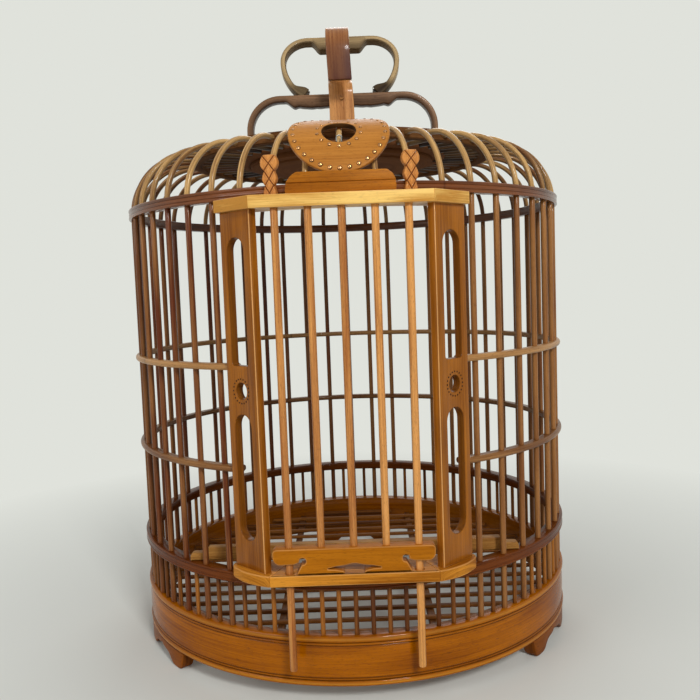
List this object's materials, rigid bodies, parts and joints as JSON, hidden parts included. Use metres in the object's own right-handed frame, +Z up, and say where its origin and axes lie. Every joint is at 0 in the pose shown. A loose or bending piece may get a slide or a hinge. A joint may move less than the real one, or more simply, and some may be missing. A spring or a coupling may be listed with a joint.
{
  "type": "bamboo bird cage",
  "caption": "Round bamboo bird cage on bracket feet, with a cranked gate bay, a door that lifts on its guide bars, and a hanging hook.",
  "frame": {"origin": "on the ground, under the middle of the cage's whole footprint, gate bay included", "axes": "+Z up towards the hook, -Y out through the gate, +X to the right as one faces the gate"},
  "size_m": [0.3322, 0.3416, 0.4641],
  "materials": {
    "honey_bamboo": "glossy lacquered bent bamboo",
    "waist_bamboo": "lacquered bent bamboo",
    "tan_bamboo": "lacquered bent bamboo",
    "dark_bamboo": "dark stained bamboo, satin",
    "bar_bamboo": "round drawn bamboo, oiled",
    "door_bamboo": "round drawn bamboo, oiled",
    "rib_bamboo": "bent round bamboo, oiled",
    "golden_bamboo": "lacquered bamboo board",
    "post_bamboo": "lacquered bamboo plank",
    "carved_bamboo": "carved and lacquered bamboo",
    "floor_bamboo": "plain bamboo strip",
    "olive_bamboo": "peeled bamboo, olive skin",
    "strap_bamboo": "bamboo strap, dark skin outside",
    "brass_studs": "polished domed heads",
    "steel_wire": "drawn wire"
  },
  "bodies": {
    "cage": {"foot_right": "honey_bamboo", "foot_back": "honey_bamboo", "foot_left": "honey_bamboo", "base_ring": "honey_bamboo", "floor_strips": "floor_bamboo", "floor_battens": "floor_bamboo", "short_bars": "bar_bamboo", "waist_ring": "waist_bamboo", "long_bars": "bar_bamboo", "lower_hoop": "tan_bamboo", "upper_hoop": "tan_bamboo", "top_ring": "dark_bamboo", "shoulder_ribs": "rib_bamboo", "crown_ring": "dark_bamboo", "hub_upper_disc": "dark_bamboo", "hub_lower_disc": "dark_bamboo", "gate_sill": "golden_bamboo", "gate_lintel": "golden_bamboo", "gate_post_right": "post_bamboo", "gate_post_left": "post_bamboo", "threshold_board": "floor_bamboo", "medallion_disc": "carved_bamboo", "medallion_studs": "brass_studs", "medallion_staple": "steel_wire", "medallion_plinth": "carved_bamboo", "braid_right": "carved_bamboo", "braid_left": "carved_bamboo", "handle_bow": "dark_bamboo", "brace_loop": "olive_bamboo", "hook_strap": "strap_bamboo", "hook_rivet": "steel_wire"},
    "door": {"door_board": "carved_bamboo", "door_bars": "door_bamboo"}
  },
  "joints": [
    {"name": "door_lift", "type": "slide", "parent": "cage", "child": "door", "axis": [0, 0, 1], "range_m": [0, 0.2]}
  ]
}
